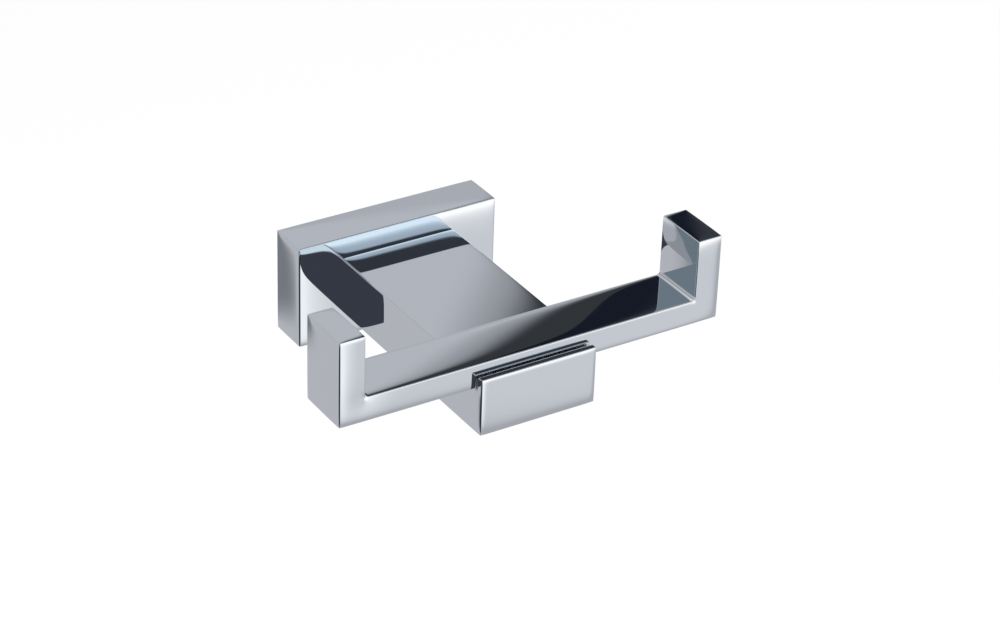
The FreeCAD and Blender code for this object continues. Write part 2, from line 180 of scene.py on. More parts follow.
class Outline:
    """A closed outline of straight runs and rounded corners, given anticlockwise.

    A corner's arc is its centre plus the radius times a normal that turns from
    the normal of one run to that of the next. Drawn inwards by some inset, an
    outer arc shrinks to a point and then slides along the mitre, an inner arc
    grows, and each run keeps its samples at the same fractions between them.
    """

    def __init__(self, corners: list[Corner], roll: RollOff) -> None:
        """Work out the runs' lengths and normals, and which corners are outer ones.

        Args:
            corners: The corners in anticlockwise order.
            roll: The roll-off along the runs.
        """
        self.corners = corners
        self.roll = roll
        self.places = np.array([[corner.u, corner.v] for corner in corners])
        ahead = np.roll(self.places, -1, axis=0) - self.places
        self.lengths = np.linalg.norm(ahead, axis=1)
        along = ahead / self.lengths[:, None]
        self.normals = np.stack([along[:, 1], -along[:, 0]], axis=1)
        before = np.roll(along, 1, axis=0)
        self.outer = (before[:, 0] * along[:, 1] - before[:, 1] * along[:, 0]) > 0
        self.turn = np.linspace(0.0, 1.0, ARC_STEPS + 1)

    def _arc_normals(self, i: int) -> np.ndarray:
        """Return the normals round a corner, turning evenly between its runs.

        Args:
            i: The corner's index.

        Returns:
            One normal per sample of the arc.
        """
        start, end = self.normals[i - 1], self.normals[i]
        angle = self.turn[:, None] * math.pi / 2
        return np.cos(angle) * start + np.sin(angle) * end

    def _arc(self, i: int, inset: float) -> np.ndarray:
        """Return the points of a corner's arc, drawn inwards.

        Args:
            i: The corner's index.
            inset: How far it is drawn inwards, in mm.

        Returns:
            One point per sample of the arc, in mm.
        """
        radius = self.corners[i].radius
        both = self.normals[i - 1] + self.normals[i]
        if self.outer[i]:
            centre = self.places[i] - max(radius, inset) * both
            return centre + max(radius - inset, 0.0) * self._arc_normals(i)
        return self.places[i] + radius * both - (radius + inset) * self._arc_normals(i)

    def _free(self, i: int) -> float:
        """Return the length of a run between its two arcs, in mm."""
        return self.lengths[i] - self.corners[i].radius - self._next(i).radius

    def _next(self, i: int) -> Corner:
        """Return the corner at a run's end."""
        return self.corners[(i + 1) % len(self.corners)]

    def _fractions(self, i: int) -> np.ndarray:
        """Return where a run has its samples, as fractions without the ends."""
        return (graded(self._free(i)) / self._free(i))[1:-1]

    def _eased(self, start: float, end: float) -> np.ndarray:
        """Return values along an arc that go evenly from one to another."""
        return start + self.turn * (end - start)

    @staticmethod
    def _woven(arcs: list, runs: list) -> np.ndarray:
        """Return every arc and the run after it in turn, as one array."""
        return np.concatenate([part for pair in zip(arcs, runs) for part in pair])

    def ring(self, inset: float) -> np.ndarray:
        """Return the closed ring of points at an inset.

        Args:
            inset: How far the outline is drawn inwards, in mm.

        Returns:
            The points, in mm.
        """
        arcs = [self._arc(i, inset) for i in range(len(self.corners))]
        runs = []
        for i, arc in enumerate(arcs):
            after = arcs[(i + 1) % len(arcs)]
            runs.append(arc[-1] + self._fractions(i)[:, None] * (after[0] - arc[-1]))
        return self._woven(arcs, runs)

    def ring_normals(self) -> np.ndarray:
        """Return the outward normal at each point of a ring.

        Returns:
            One normal per point.
        """
        count = range(len(self.corners))
        runs = [np.tile(self.normals[i], (len(self._fractions(i)), 1)) for i in count]
        return self._woven([self._arc_normals(i) for i in count], runs)

    def ring_drop(self) -> np.ndarray:
        """Return how far each side face falls off towards its outer corners.

        A run drops by the roll-off of the distance to each end that is an outer
        corner. Along an arc the drop goes evenly from one run's to the next's.

        Returns:
            One drop per point of a ring, in mm.
        """
        drops = []
        for i, corner in enumerate(self.corners):
            place = corner.radius + graded(self._free(i))
            drop = np.zeros_like(place)
            if self.outer[i]:
                drop += corner.roll * self.roll.drop(place)
            if self.outer[(i + 1) % len(self.corners)]:
                drop += self._next(i).roll * self.roll.drop(self.lengths[i] - place)
            drops.append(drop)
        arcs = [self._eased(drops[i - 1][-1], drop[0]) for i, drop in enumerate(drops)]
        return self._woven(arcs, [drop[1:-1] for drop in drops])

    def ring_across(self) -> np.ndarray:
        """Return the weights of the roll-off towards the solid's two ends.

        Returns:
            One weight per point of a ring.
        """
        weights = [corner.across for corner in self.corners]
        arcs = [self._eased(weights[i - 1], weight) for i, weight in enumerate(weights)]
        runs = [np.full(len(self._fractions(i)), weight) for i, weight in enumerate(weights)]
        return self._woven(arcs, runs)

    def face_drop(self, points: np.ndarray) -> np.ndarray:
        """Return how far an end face falls off.

        The drop is the sum, over the runs, of the roll-off of the distance from
        a point to the nearest point of that run.

        Args:
            points: Points by their two coordinates, in mm.

        Returns:
            One drop per point, in mm.
        """
        total = np.zeros(points.shape[:-1])
        ends = np.roll(self.places, -1, axis=0)
        for corner, start, end, length in zip(self.corners, self.places, ends, self.lengths):
            way = (end - start) / length
            reach = np.clip((points - start) @ way, 0.0, length)
            nearest = start + reach[..., None] * way
            total += corner.face * self.roll.drop(np.linalg.norm(points - nearest, axis=-1))
        return total

    def inner_points(self, ring: np.ndarray) -> np.ndarray:
        """Return graded grid points inside a ring and clear of it.

        The grid's lines are graded between the outline's own coordinates. A
        point is inside when a line from it crosses the ring an odd number of times.

        Args:
            ring: The ring's points, in mm.

        Returns:
            The points, in mm.
        """
        axes = []
        for k in range(2):
            stops = np.unique(self.places[:, k].round(6))
            spans = zip(stops, stops[1:])
            lines = [low + graded(high - low, GRID_FIRST, GRID_GROWTH) for low, high in spans]
            axes.append(np.unique(np.concatenate(lines).round(6)))
        grid = np.stack(np.meshgrid(*axes, indexing="ij"), axis=-1).reshape(-1, 2)
        after = np.roll(ring, -1, axis=0)
        rises = (ring[:, 1] > grid[:, 1:]) != (after[:, 1] > grid[:, 1:])
        with np.errstate(divide="ignore", invalid="ignore"):
            slope = (after[:, 0] - ring[:, 0]) / (after[:, 1] - ring[:, 1])
            cross = ring[:, 0] + slope * (grid[:, 1:] - ring[:, 1])
        inside = (rises & (grid[:, :1] < cross)).sum(axis=1) % 2 == 1
        grid = grid[inside]
        gap = np.linalg.norm(grid[:, None] - ring[None], axis=-1).min(axis=1)
        return grid[gap > GRID_MARGIN]


@dataclass(frozen=True)
class Profile:
    """The path of an edge profile, one value per sample, in mm and weights.

    Attributes:
        inset: How far the sample lies inside the outline.
        depth: How far it lies from the front end.
        front: How far it counts as the front face, from 0 to 1.
        back: How far it counts as the back face, from 0 to 1.
        side: How far it counts as the side, from 0 to 1.
    """

    inset: np.ndarray
    depth: np.ndarray
    front: np.ndarray
    back: np.ndarray
    side: np.ndarray


def bar_profile(length: float, radius: float, border: float) -> Profile:
    """Return the profile of a solid bar: a border, an edge arc, a side and back again.

    The border is the outer strip of each end face. On an arc the inset is the
    radius times one minus the sine of the angle, and the depth is the radius
    times one minus its cosine.

    Args:
        length: The bar's length, in mm.
        radius: The radius of both edges, in mm.
        border: How far in the border reaches, in mm.

    Returns:
        The profile from the front face's border to the back face's.
    """
    angle = np.linspace(0.0, math.pi / 2, ARC_STEPS + 1)
    strip = radius + rising(border - radius, FIRST_STEP, 1.22)[:0:-1]
    inset = np.concatenate([strip, radius * (1 - np.sin(angle))])
    depth = np.concatenate([0 * strip, radius * (1 - np.cos(angle))])
    face = np.concatenate([0 * strip + 1, np.cos(angle)])
    side = np.concatenate([0 * strip, np.sin(angle)])
    straight = radius + graded(length - 2 * radius)[1:-1]
    none = np.zeros_like(straight)
    return Profile(
        inset=np.concatenate([inset, none, inset[::-1]]),
        depth=np.concatenate([depth, straight, length - depth[::-1]]),
        front=np.concatenate([face, none, 0 * face]),
        back=np.concatenate([0 * face, none, face[::-1]]),
        side=np.concatenate([side, none + 1, side[::-1]]),
    )


def box_profile(
    length: float, radius: float, border: float, wall: float, floor: float
) -> Profile:
    """Return the profile of a hollow box, open at its back.

    It runs over the front edge, along the side, over the back rim, which is one
    wall wide and has both edges eased, and down the inner wall to the inner floor.

    Args:
        length: The box's length, in mm.
        radius: The radius of the front edge, in mm.
        border: How far in the front face's border reaches, in mm.
        wall: The side wall's thickness, in mm.
        floor: The front wall's thickness, in mm.

    Returns:
        The profile from the front face's rim to the inner floor's.
    """
    outside = bar_profile(length, radius, border)
    split = int(np.flatnonzero(outside.side == 1).max()) + 1
    ease, nick = 0.12, 0.04
    rim = [
        (0.0, length - ease, 1.0),
        (nick, length - nick, 0.7),
        (ease, length, 0.0),
        (0.4, length, 0.0),
        (1.0, length, 0.0),
        (wall - ease, length, 0.0),
        (wall - nick, length - nick, 0.0),
        (wall, length - ease, 0.0),
        (wall, (length + floor) / 2, 0.0),
        (wall, floor, 0.0),
    ]
    inset, depth, side = np.array(rim).T
    return Profile(
        inset=np.concatenate([outside.inset[:split], inset]),
        depth=np.concatenate([outside.depth[:split], depth]),
        front=np.concatenate([outside.front[:split], 0 * inset]),
        back=np.concatenate([outside.back[:split], 0 * inset]),
        side=np.concatenate([outside.side[:split], side]),
    )


@dataclass(frozen=True)
class Buffed:
    """A buffed solid: an outline drawn out along an axis, with rolled-off faces.

    Attributes:
        outline: The outline across the axis.
        profile: The edge profile carried round it.
        axis: The axis along which it is drawn out.
        start: The axis coordinate of the front end, in mm.
        length: The length, in mm.
    """

    outline: Outline
    profile: Profile
    axis: Axis
    start: float
    length: float

    def _place(self, flat: np.ndarray, depth: np.ndarray) -> np.ndarray:
        """Return points of the frame.

        Args:
            flat: Their two coordinates in the outline, in mm.
            depth: Their depths along the axis, in mm.

        Returns:
            The points, in metres.
        """
        u, v, along = flat[..., 0], flat[..., 1], self.start + depth
        order = [along, u, v] if self.axis is Axis.X else [u, along, v]
        return np.stack(order, axis=-1) * MM

    def shell(self) -> np.ndarray:
        """Return the grid of points of the side and edges.

        Each point is the outline drawn in by the profile's inset and set back by
        its depth, then sunk by the faces' roll-offs, each by its own weight.

        Returns:
            Points in metres, profile samples by ring samples.
        """
        profile, outline, roll = self.profile, self.outline, self.outline.roll
        flat = np.stack([outline.ring(float(inset)) for inset in profile.inset])
        reach = np.clip(profile.depth, END_CLEARANCE, self.length - END_CLEARANCE)
        across = (roll.drop(reach) + roll.drop(self.length - reach))[:, None]
        across = across * outline.ring_across()
        sink = (outline.ring_drop()[None] + across) * profile.side[:, None]
        face = outline.face_drop(flat)
        depth = profile.depth[:, None] + face * profile.front[:, None]
        depth = depth - face * profile.back[:, None]
        return self._place(flat - outline.ring_normals()[None] * sink[..., None], depth)

    def end(self, last: bool, rolled: bool) -> tuple[np.ndarray, list]:
        """Return the points and triangles of one end face.

        Args:
            last: Whether it is the face at the profile's end.
            rolled: Whether the face falls off towards its rim.

        Returns:
            Points in metres, and triangles as triples of indices.
        """
        k = -1 if last else 0
        ring = self.outline.ring(float(self.profile.inset[k]))
        rim = ring[np.linalg.norm(ring - np.roll(ring, 1, axis=0), axis=1) > SAME_PLACE]
        points = np.concatenate([rim, self.outline.inner_points(rim)])
        loop = list(range(len(rim)))
        mesh = geometry.delaunay_2d_cdt(points.tolist(), [], [loop], 1, CUT_TOLERANCE)
        flat = np.array([list(v) for v in mesh[0]])
        depth = np.full(len(flat), self.profile.depth[k])
        if rolled:
            depth += self.outline.face_drop(flat) * (-1 if last else 1)
        return self._place(flat, depth), mesh[2]


def grid_faces(rows: int, columns: int) -> np.ndarray:
    """Return the quads of a grid whose columns close on themselves.

    Args:
        rows: Rows of points.
        columns: Points in a row.

    Returns:
        Quads as rows of four indices.
    """
    i, j = np.meshgrid(np.arange(rows - 1), np.arange(columns), indexing="ij")
    k = (j + 1) % columns
    quads = [i * columns + j, i * columns + k, (i + 1) * columns + k, (i + 1) * columns + j]
    return np.stack(quads, axis=-1).reshape(-1, 4)


def make_object(name: str, points: np.ndarray, faces: list) -> bpy.types.Object:
    """Make a smooth object whose doubles are merged and whose faces point outwards.

    Args:
        name: The object's name.
        points: Points, in metres.
        faces: Faces as lists of indices.

    Returns:
        The object, at the origin.
    """
    mesh = bpy.data.meshes.new(name)
    mesh.from_pydata(points.tolist(), [], faces)
    work = bmesh.new()
    work.from_mesh(mesh)
    bmesh.ops.remove_doubles(work, verts=work.verts, dist=MERGE_DISTANCE)
    bmesh.ops.dissolve_degenerate(work, edges=work.edges, dist=MERGE_DISTANCE)
    bmesh.ops.recalc_face_normals(work, faces=work.faces)
    work.to_mesh(mesh)
    work.free()
    mesh.polygons.foreach_set("use_smooth", np.ones(len(mesh.polygons), bool))
    mesh.set_sharp_from_angle(angle=SHARP_ANGLE)
    obj = bpy.data.objects.new(name, mesh)
    bpy.context.scene.collection.objects.link(obj)
    return obj


def make_buffed(name: str, solid: Buffed, hollow: bool = False) -> bpy.types.Object:
    """Make the object of a buffed solid.

    Args:
        name: The object's name.
        solid: The solid.
        hollow: Whether its last face is a flat inner floor.

    Returns:
        The object.
    """
    shell = solid.shell()
    rows, columns = shell.shape[:2]
    points = [shell.reshape(-1, 3)]
    faces = grid_faces(rows, columns).tolist()
    offset = rows * columns
    for last in (False, True):
        end, triangles = solid.end(last, not (last and hollow))
        faces += [[offset + i for i in triangle] for triangle in triangles]
        points.append(end)
        offset += len(end)
    return make_object(name, np.concatenate(points), faces)


@dataclass(frozen=True)
class Stance:
    """Where a turned form stands.

    Attributes:
        origin: Its start, in mm.
        across: The direction of its first axis.
        upward: The direction of its second axis.
        along: The direction in which it runs.
    """

    origin: tuple
    across: tuple
    upward: tuple
    along: tuple

    def place(self, local: np.ndarray) -> np.ndarray:
        """Return points given across, upward and along, in mm, as metres in the frame."""
        turn = np.array([self.across, self.upward, self.along], float)
        return (np.array(self.origin) + local @ turn) * MM


def outward_stance(x: float, y: float, z: float) -> Stance:
    """Return the stance of a form that starts at a point and runs away from the wall."""
    return Stance((x, y, z), (1, 0, 0), (0, 0, 1), (0, -1, 0))


def upright_stance(x: float, y: float, z: float) -> Stance:
    """Return the stance of a form that starts at a point and runs upwards."""
    return Stance((x, y, z), (1, 0, 0), (0, 1, 0), (0, 0, 1))


def around_angles(around: int) -> np.ndarray:
    """Return the angles of a full turn in even steps, without the last."""
    return np.arange(around) * (2 * math.pi / around)


def turned(rings: list, around: int) -> np.ndarray:
    """Return the grid of a turned form, ring by ring, in mm.

    Args:
        rings: Pairs of a radius and a distance along, which may vary round the ring.
        around: Points in a ring.

    Returns:
        Points of the form's own axes, rings by points.
    """
    angle = around_angles(around)
    grid = [
        np.stack([radius * np.cos(angle), radius * np.sin(angle), along + 0 * angle], axis=-1)
        for radius, along in rings
    ]
    return np.stack(grid)


def hexagon(flats: float, around: int) -> np.ndarray:
    """Return the radii of a hexagon's outline.

    A radius is half the width across flats over the cosine of the angle from
    the nearest flat's middle.

    Args:
        flats: Its width across flats, in mm.
        around: Points round it.

    Returns:
        One radius per point, in mm.
    """
    sixth = math.pi / 3
    from_flat = np.mod(around_angles(around), sixth) - sixth / 2
    return flats / 2 / np.cos(from_flat)


@dataclass(frozen=True)
class Screw:
    """A hexagon socket screw with a real metric thread, with or without a head.

    Attributes:
        radius: The thread's radius, in mm.
        pitch: Its pitch, in mm.
        length: Its length, in mm.
        socket: The socket's width across flats, in mm.
        socket_depth: The socket's depth, in mm.
        head_radius: The head's radius, in mm, or 0 for none.
        head_height: The head's height, in mm.
        bevel: The bevel at the thread's two ends, in mm.
        around: Points in a ring.
    """

    radius: float
    pitch: float
    length: float
    socket: float
    socket_depth: float
    head_radius: float = 0.0
    head_height: float = 0.0
    bevel: float = 0.5
    around: int = 96

    def _thread(self) -> tuple[np.ndarray, np.ndarray]:
        """Return the thread.

        The rows follow the helix: each point's distance along is that of its
        row plus the pitch times its part of the turn. In one pitch the radius
        has a flat crest an eighth wide and a flat root a quarter wide, and both
        ends are bevelled at 45 degrees. Rows beyond the ends fall together
        there, and the last column joins the first one a pitch further on.

        Returns:
            Its points, in mm, and its quads.
        """
        turns = int(self.length / self.pitch) + 4
        phase = np.array([-1 / 16, 1 / 16, 0.375, 0.625])
        high = np.array([1.0, 1.0, 0.0, 0.0])
        base = (np.arange(-1, turns)[:, None] + phase).reshape(-1) * self.pitch
        crest = np.tile(high, turns + 1)
        helix = self.pitch * around_angles(self.around) / (2 * math.pi)
        along = np.clip(base[:, None] + helix, 0.0, self.length)
        root = self.radius - THREAD_DEPTH * self.pitch
        radius = root + (self.radius - root) * crest[:, None]
        rim = self.radius - self.bevel
        radius = np.minimum(radius, rim + np.minimum(along, self.length - along))
        grid = turned(list(zip(radius, along + self.head_height)), self.around)
        rows, columns = grid.shape[:2]
        quads = grid_faces(rows, columns).reshape(rows - 1, columns, 4)
        seam = quads[: -len(phase), -1].copy()
        seam[:, 1:3] += len(phase) * columns
        return grid.reshape(-1, 3), np.concatenate([quads[:, :-1].reshape(-1, 4), seam])

    def _rings(self) -> list:
        """Return the rings from the socket's bottom to the thread's start.

        Returns:
            Pairs of a radius and a distance along, in mm.
        """
        six = hexagon(self.socket, self.around)
        bevel, cone = 0.1, 0.4
        mouth = self.socket / math.sqrt(3) + bevel / 2
        deep = self.socket_depth
        rings = [(0.0, deep + cone), (six, deep), (six, bevel), (mouth, 0.0)]
        if self.head_radius:
            far, high = self.head_radius, self.head_height
            knurl = far - KNURL_DEPTH * np.mod(np.arange(self.around), 2)
            rings += [(far - 0.4, 0.0), (far - 0.08, 0.25), (far, 0.5), (knurl, 0.6)]
            rings += [(knurl, high - 0.45), (far, high - 0.35), (far, high - bevel)]
            rings.append((far - bevel, high))
        rings.append((self.radius - self.bevel, self.head_height))
        return rings

    def parts(self) -> list:
        """Return the screw's grids.

        Returns:
            Pairs of points, in mm, and quads.
        """
        top = turned(self._rings(), self.around)
        end = self.head_height + self.length
        tip = turned([(self.radius - self.bevel, end), (0.0, end)], self.around)
        flat = [(grid.reshape(-1, 3), grid_faces(*grid.shape[:2])) for grid in (top, tip)]
        return [flat[0], self._thread(), flat[1]]


def make_from_parts(name: str, parts: list) -> bpy.types.Object:
    """Make one object of several grids.

    Args:
        name: The object's name.
        parts: Pairs of points, in metres, and faces.

    Returns:
        The object.
    """
    faces, offset = [], 0
    for points, quads in parts:
        faces += (quads + offset).tolist()
        offset += len(points)
    return make_object(name, np.concatenate([points for points, _ in parts]), faces)


@dataclass(frozen=True)
class Drill:
    """A stepped hole or plug.

    Attributes:
        stance: Where it starts and how it runs.
        steps: Pairs of a radius and a distance along, in mm.
    """

    stance: Stance
    steps: tuple

    def cutter(self, name: str) -> bpy.types.Object:
        """Make the hole's closed turned form.

        Args:
            name: The form's name.

        Returns:
            The form's object.
        """
        rings = [(0.0, self.steps[0][1]), *self.steps]
        if self.steps[-1][0] > 0:
            rings.append((0.0, self.steps[-1][1]))
        grid = turned(rings, CUTTER_AROUND)
        points = self.stance.place(grid.reshape(-1, 3))
        return make_from_parts(name, [(points, grid_faces(*grid.shape[:2]))])


def blind_hole(stance: Stance, radius: float, depth: float, overrun: float = 0.6) -> Drill:
    """Return a drilled hole that ends in the drill's cone.

    Args:
        stance: Where it starts and how it runs.
        radius: Its radius, in mm.
        depth: Its depth without the cone, in mm.
        overrun: How far its cutter starts before it, in mm.

    Returns:
        The hole.
    """
    return Drill(
        stance, ((radius, -overrun), (radius, depth), (0.0, depth + DRILL_POINT * radius))
    )


def carve(piece: bpy.types.Object, drills: list[Drill], keep: bool = False) -> None:
    """Cut drilled holes into a piece, or join plugs to it, and apply the result.

    Args:
        piece: The piece.
        drills: The forms.
        keep: Whether they are joined instead of cut.
    """
    for k, drill in enumerate(drills):
        cutter = drill.cutter(f"cutter_{k}")
        modifier = piece.modifiers.new("carve", "BOOLEAN")
        modifier.solver = "EXACT"
        modifier.operation = "UNION" if keep else "DIFFERENCE"
        modifier.object = cutter
        graph = bpy.context.evaluated_depsgraph_get()
        result = bpy.data.meshes.new_from_object(piece.evaluated_get(graph))
        piece.modifiers.clear()
        old, piece.data = piece.data, result
        name = old.name
        bpy.data.meshes.remove(old)
        result.name = name
        bpy.data.meshes.remove(cutter.data)
    piece.data.set_sharp_from_angle(angle=SHARP_ANGLE)


# ---------------------------------------------------------------- finishes


def shade(code: str) -> tuple[float, float, float, float]:
    """Return a colour that is written as six hexadecimal digits, as linear light.

    Args:
        code: The six digits.

    Returns:
        Red, green, blue and an alpha of 1.
    """
    values = np.array([int(code[i : i + 2], 16) for i in (0, 2, 4)]) / 255
    linear = np.where(values <= 0.04045, values / 12.92, ((values + 0.055) / 1.055) ** 2.4)
    return (*linear.tolist(), 1.0)


class NodeBuilder:
    """A small helper that adds nodes to a tree and links them."""

    def __init__(self, tree: bpy.types.NodeTree) -> None:
        """Keep the tree."""
        self.tree = tree

    def feed(self, socket: bpy.types.NodeSocket, value: object) -> None:
        """Link an input to a socket, or set it to a plain value.

        Args:
            socket: The input.
            value: The socket or the value.
        """
        if isinstance(value, bpy.types.NodeSocket):
            self.tree.links.new(value, socket)
        else:
            socket.default_value = value

    def add(self, kind: str, settings: dict | None = None, **values: object) -> bpy.types.Node:
        """Add a node, set its properties, and set or link its inputs.

        Args:
            kind: The node's type.
            settings: Its properties.
            values: Inputs by name, with _ for a space; a socket is linked.

        Returns:
            The node.
        """
        node = self.tree.nodes.new(kind)
        for key, value in (settings or {}).items():
            setattr(node, key, value)
        for key, value in values.items():
            self.feed(node.inputs[key.replace("_", " ")], value)
        return node

    def worked(self, kind: str, settings: dict, *terms: object) -> bpy.types.Node:
        """Add a node whose inputs are told apart by their order alone.

        Args:
            kind: The node's type.
            settings: Its properties.
            terms: Its inputs in order.

        Returns:
            The node.
        """
        node = self.add(kind, settings)
        for socket, term in zip(node.inputs, terms):
            self.feed(socket, term)
        return node

    def math(self, operation: str, *terms: object) -> bpy.types.NodeSocket:
        """Return the number that a Math node works out from its terms."""
        return self.worked("ShaderNodeMath", {"operation": operation}, *terms).outputs[0]

    def dot(self, *vectors: object) -> bpy.types.NodeSocket:
        """Return the dot product of two vectors."""
        node = self.worked("ShaderNodeVectorMath", {"operation": "DOT_PRODUCT"}, *vectors)
        return node.outputs["Value"]

    def blend(self, *terms: object) -> bpy.types.NodeSocket:
        """Return two shaders mixed by a factor, which comes first."""
        return self.worked("ShaderNodeMixShader", {}, *terms).outputs[0]

    def spread(self, value: bpy.types.NodeSocket, low: float, high: float) -> bpy.types.NodeSocket:
        """Return a 0 to 1 value spread over another range."""
        node = self.add("ShaderNodeMapRange", Value=value, To_Min=low, To_Max=high)
        return node.outputs["Result"]


def new_group(
    name: str, inputs: tuple, outputs: tuple
) -> tuple[NodeBuilder, bpy.types.Node, bpy.types.Node]:
    """Start a node group.

    Args:
        name: The group's name.
        inputs: Its inputs as pairs of a name and a socket type.
        outputs: Its outputs, the same way.

    Returns:
        A builder for its tree, its input node and its output node.
    """
    tree = bpy.data.node_groups.new(name, "ShaderNodeTree")
    for way, sockets in (("INPUT", inputs), ("OUTPUT", outputs)):
        for label, kind in sockets:
            tree.interface.new_socket(name=label, in_out=way, socket_type=kind)
    build = NodeBuilder(tree)
    return build, build.add("NodeGroupInput"), build.add("NodeGroupOutput")


NUMBER, VECTOR, COLOUR = "NodeSocketFloat", "NodeSocketVector", "NodeSocketColor"


def handling_group() -> bpy.types.NodeTree:
    """Return the group of the faint marks that all the metal has.

    The height is a slow waviness less hairline scratches: a noise stretched
    along one way, sharpened so that only its narrow crests count. The smudge is
    a soft noise whose upper half is kept.

    Returns:
        The group's tree.
    """
    build, given, result = new_group(
        "handling_marks",
        (("Coordinates", VECTOR), ("Wave Scale", NUMBER), ("Scratch Scale", NUMBER)),
        (("Height", NUMBER), ("Smudge", NUMBER)),
    )
    take = given.outputs
    where = take["Coordinates"]
    wave = build.add("ShaderNodeTexNoise", Vector=where, Scale=take["Wave Scale"], Detail=1.0)
    turn = build.add(
        "ShaderNodeMapping", Vector=where, Rotation=(0.4, 0.7, 0.3), Scale=(1.0, 0.06, 1.0)
    )
    hair = build.add(
        "ShaderNodeTexNoise", Vector=turn.outputs[0], Scale=take["Scratch Scale"], Detail=2.0
    )
    crest = build.add(
        "ShaderNodeMapRange", Value=hair.outputs["Fac"], From_Min=0.66, From_Max=0.74, To_Max=0.12
    )
    total = build.math("SUBTRACT", wave.outputs["Fac"], crest.outputs["Result"])
    cloud = build.add("ShaderNodeTexNoise", Vector=where, Scale=55.0, Detail=5.0, Roughness=0.6)
    smudge = build.add(
        "ShaderNodeMapRange", Value=cloud.outputs["Fac"], From_Min=0.5, From_Max=0.75
    )
    build.feed(result.inputs["Height"], total)
    build.feed(result.inputs["Smudge"], smudge.outputs["Result"])
    return build.tree


def grain_group() -> bpy.types.NodeTree:
    """Return the group of a drawn or turned grain with a cloudy mottle.

    The grain is a noise stretched by the given scales, one per axis. The
    mottle mixes two colours by a cell pattern blurred with noise.

    Returns:
        The group's tree.
    """
    build, given, result = new_group(
        "metal_grain",
        (
            ("Coordinates", VECTOR),
            ("Stretch", VECTOR),
            ("Mottle Scale", NUMBER),
            ("Light", COLOUR),
            ("Dark", COLOUR),
        ),
        (("Colour", COLOUR), ("Grain", NUMBER)),
    )
    take = given.outputs
    where, size = take["Coordinates"], take["Mottle Scale"]
    along = build.add("ShaderNodeMapping", Vector=where, Scale=take["Stretch"])
    grain = build.add(
        "ShaderNodeTexNoise", Vector=along.outputs[0], Scale=1.0, Detail=4.0, Roughness=0.7
    )
    cells = build.add("ShaderNodeTexVoronoi", Vector=where, Scale=size)
    cloud = build.add("ShaderNodeTexNoise", Vector=where, Scale=size, Detail=3.0)
    both = build.math("MULTIPLY", cells.outputs["Distance"], cloud.outputs["Fac"])
    mottle = build.add("ShaderNodeMapRange", Value=both, From_Max=0.45).outputs["Result"]
    mix = build.add(
        "ShaderNodeMix", {"data_type": "RGBA"}, Factor=mottle, A=take["Light"], B=take["Dark"]
    )
    build.feed(result.inputs["Colour"], mix.outputs["Result"])
    build.feed(result.inputs["Grain"], grain.outputs["Fac"])
    return build.tree


@dataclass(frozen=True)
class Effects:
    """The node groups that the finishes share.

    Attributes:
        handling: The faint marks that all the metal has.
        grain: A drawn or turned grain with a cloudy mottle.
    """

    handling: bpy.types.NodeTree
    grain: bpy.types.NodeTree


def new_metal(
    name: str, colour: tuple
) -> tuple[bpy.types.Material, NodeBuilder, bpy.types.Node]:
    """Start a metal's material.

    Args:
        name: The material's name.
        colour: Its base colour.

    Returns:
        The material, a builder for its nodes and its shader.
    """
    material = bpy.data.materials.new(name)
    material.use_nodes = True
    shader = material.node_tree.nodes["Principled BSDF"]
    shader.inputs["Base Color"].default_value = colour
    shader.inputs["Metallic"].default_value = 1.0
    return material, NodeBuilder(material.node_tree), shader


@dataclass(frozen=True)
class ChromeFinish:
    """Chrome plate with the faint marks of polishing and handling.

    Attributes:
        name: The material's name.
        colour: Its base colour.
        smooth: The roughness where it is clean.
        smudged: The roughness where it has been handled.
        depth: How deep its marks are, in metres.
    """

    name: str = "polished_chrome_plate"
    colour: tuple = (0.79, 0.80, 0.815, 1.0)
    smooth: float = 0.010
    smudged: float = 0.030
    depth: float = 2.2e-7

    def material(self, effects: Effects) -> bpy.types.Material:
        """Return the finish's material.

        Args:
            effects: The shared node groups.

        Returns:
            The material.
        """
        material, build, shader = new_metal(self.name, self.colour)
        where = build.add("ShaderNodeTexCoord").outputs["Object"]
        marks = build.add(
            "ShaderNodeGroup",
            {"node_tree": effects.handling},
            Coordinates=where,
            Wave_Scale=210.0,
            Scratch_Scale=2600.0,
        )
        rough = build.spread(marks.outputs["Smudge"], self.smooth, self.smudged)
        build.feed(shader.inputs["Roughness"], rough)
        bump = build.add("ShaderNodeBump", Height=marks.outputs["Height"], Distance=self.depth)
        build.feed(shader.inputs["Normal"], bump.outputs["Normal"])
        return material


